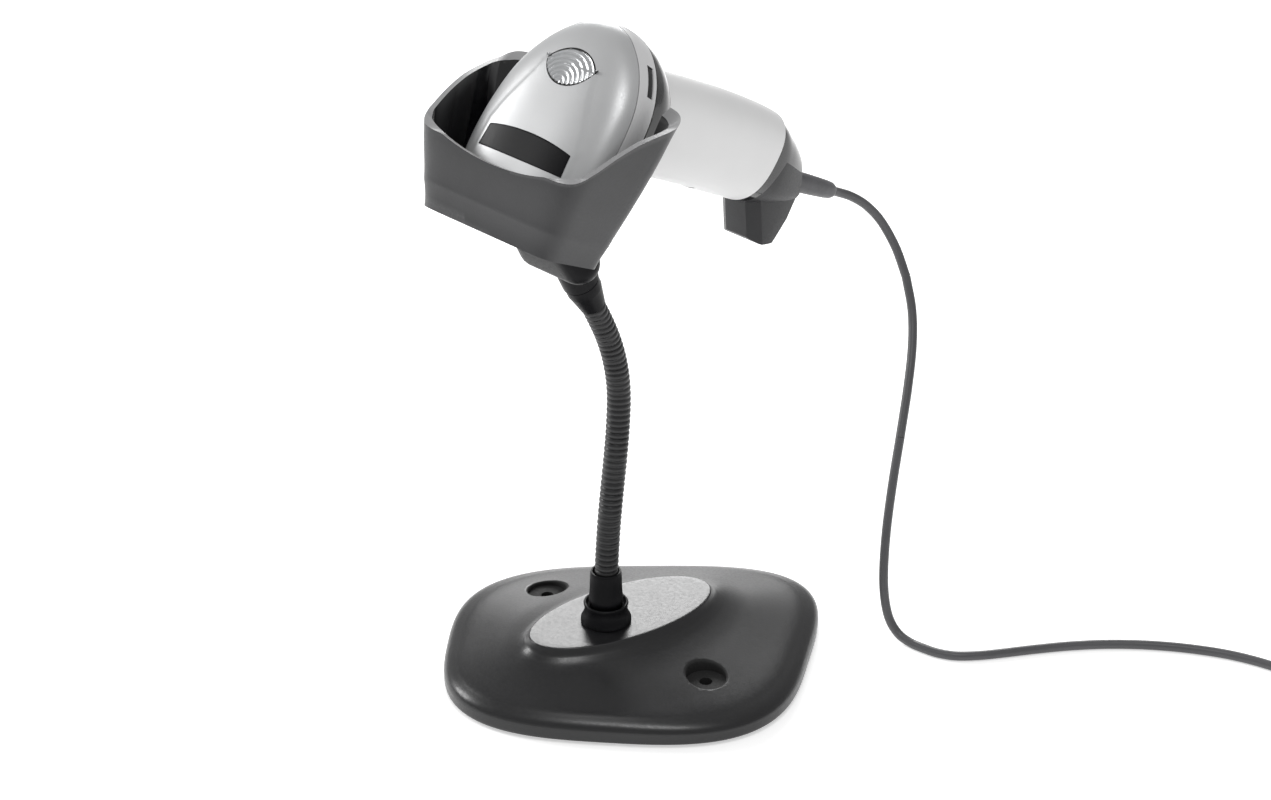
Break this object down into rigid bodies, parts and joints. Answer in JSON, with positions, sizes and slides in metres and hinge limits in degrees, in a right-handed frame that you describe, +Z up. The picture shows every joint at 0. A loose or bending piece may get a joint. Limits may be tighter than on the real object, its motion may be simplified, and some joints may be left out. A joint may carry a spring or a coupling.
{
  "type": "handheld barcode scanner with stand",
  "caption": "Pistol-grip code reader with a trigger, resting nose down in a cup on a flexible neck with a weighted rounded base, and its coiled cord.",
  "frame": {"origin": "centre of the base's underside, on the surface that the stand rests on", "axes": "+Z up; -Y the way the scanner looks; +X across the object, to the side that the cord runs to"},
  "size_m": [0.3466, 0.3866, 0.2925],
  "materials": {
    "base_plastic": "satin",
    "steel": "plain",
    "rubber": "matt",
    "black_plastic": "satin",
    "neck_skin": "ribbed",
    "cup_plastic": "satin",
    "silver_plastic": "satin",
    "pale_plastic": "satin",
    "gloss_black": "gloss",
    "clear_lens": "ridged, translucent",
    "window": "tinted",
    "board": "lacquered",
    "heel_plastic": "satin",
    "cord_skin": "satin"
  },
  "bodies": {
    "stand_base": {"base_cover": "base_plastic", "ballast_plate": "steel", "base_plate": "base_plastic", "rubber_pad": "rubber", "base_screws": "steel", "neck_collar": "black_plastic", "collar_nut": "steel", "lower_ferrule": "black_plastic", "neck_sleeve_lower": "neck_skin", "neck_core_lower": "steel", "cable_upper": "cord_skin", "cable_middle": "cord_skin", "cable_lower": "cord_skin", "cable_coil": "cord_skin", "cable_tail": "cord_skin", "coil_tie": "black_plastic", "usb_body": "black_plastic", "usb_shell": "steel"},
    "neck_middle": {"neck_sleeve_middle": "neck_skin", "neck_core_middle": "steel"},
    "cup": {"neck_sleeve_upper": "neck_skin", "neck_core_upper": "steel", "upper_ferrule": "black_plastic", "cup_shell": "cup_plastic", "cup_bracket": "black_plastic", "bracket_screws": "steel"},
    "scanner": {"head_cover": "silver_plastic", "head_ring": "pale_plastic", "head_rear_shell": "gloss_black", "indicator_lens": "clear_lens", "label_plate": "gloss_black", "side_inserts": "gloss_black", "nose_bezel": "rubber", "scan_window": "window", "imager_block": "black_plastic", "imager_lens": "steel", "light_board": "board", "light_emitters": "clear_lens", "beeper": "black_plastic", "main_board": "board", "handle_left": "pale_plastic", "handle_right": "pale_plastic", "handle_screws": "steel", "trigger_pin": "steel", "trigger_spring": "steel", "trigger_switch": "black_plastic", "butt_cap": "gloss_black", "butt_heel": "heel_plastic", "cable_socket": "black_plastic", "cable_plug": "clear_lens", "strain_relief": "cord_skin"},
    "trigger": {"trigger": "pale_plastic"}
  },
  "joints": [
    {"name": "neck_bend", "type": "hinge", "parent": "stand_base", "child": "neck_middle", "pos_m": [0, -0.0097, 0.064], "axis": [1, 0, 0], "range_deg": [-20, 20], "deforming": ["neck_sleeve_lower", "neck_core_lower", "cable_lower"]},
    {"name": "neck_sway", "type": "hinge", "parent": "neck_middle", "child": "cup", "pos_m": [0, -0.007, 0.152], "axis": [0, 0.9566, 0.2915], "range_deg": [-20, 20], "deforming": ["neck_sleeve_upper", "neck_core_upper", "cable_middle"]},
    {"name": "scanner_lift", "type": "slide", "parent": "cup", "child": "scanner", "axis": [0, 0.4384, 0.8988], "range_m": [0, 0.08], "deforming": ["cable_upper"]},
    {"name": "trigger_pull", "type": "hinge", "parent": "scanner", "child": "trigger", "pos_m": [0, 0.01058, 0.22894], "axis": [1, 0, 0], "range_deg": [0, 6], "stiffness_Nm_per_rad": 0.4, "springref_deg": -17.19, "deforming": ["trigger_spring"]}
  ]
}
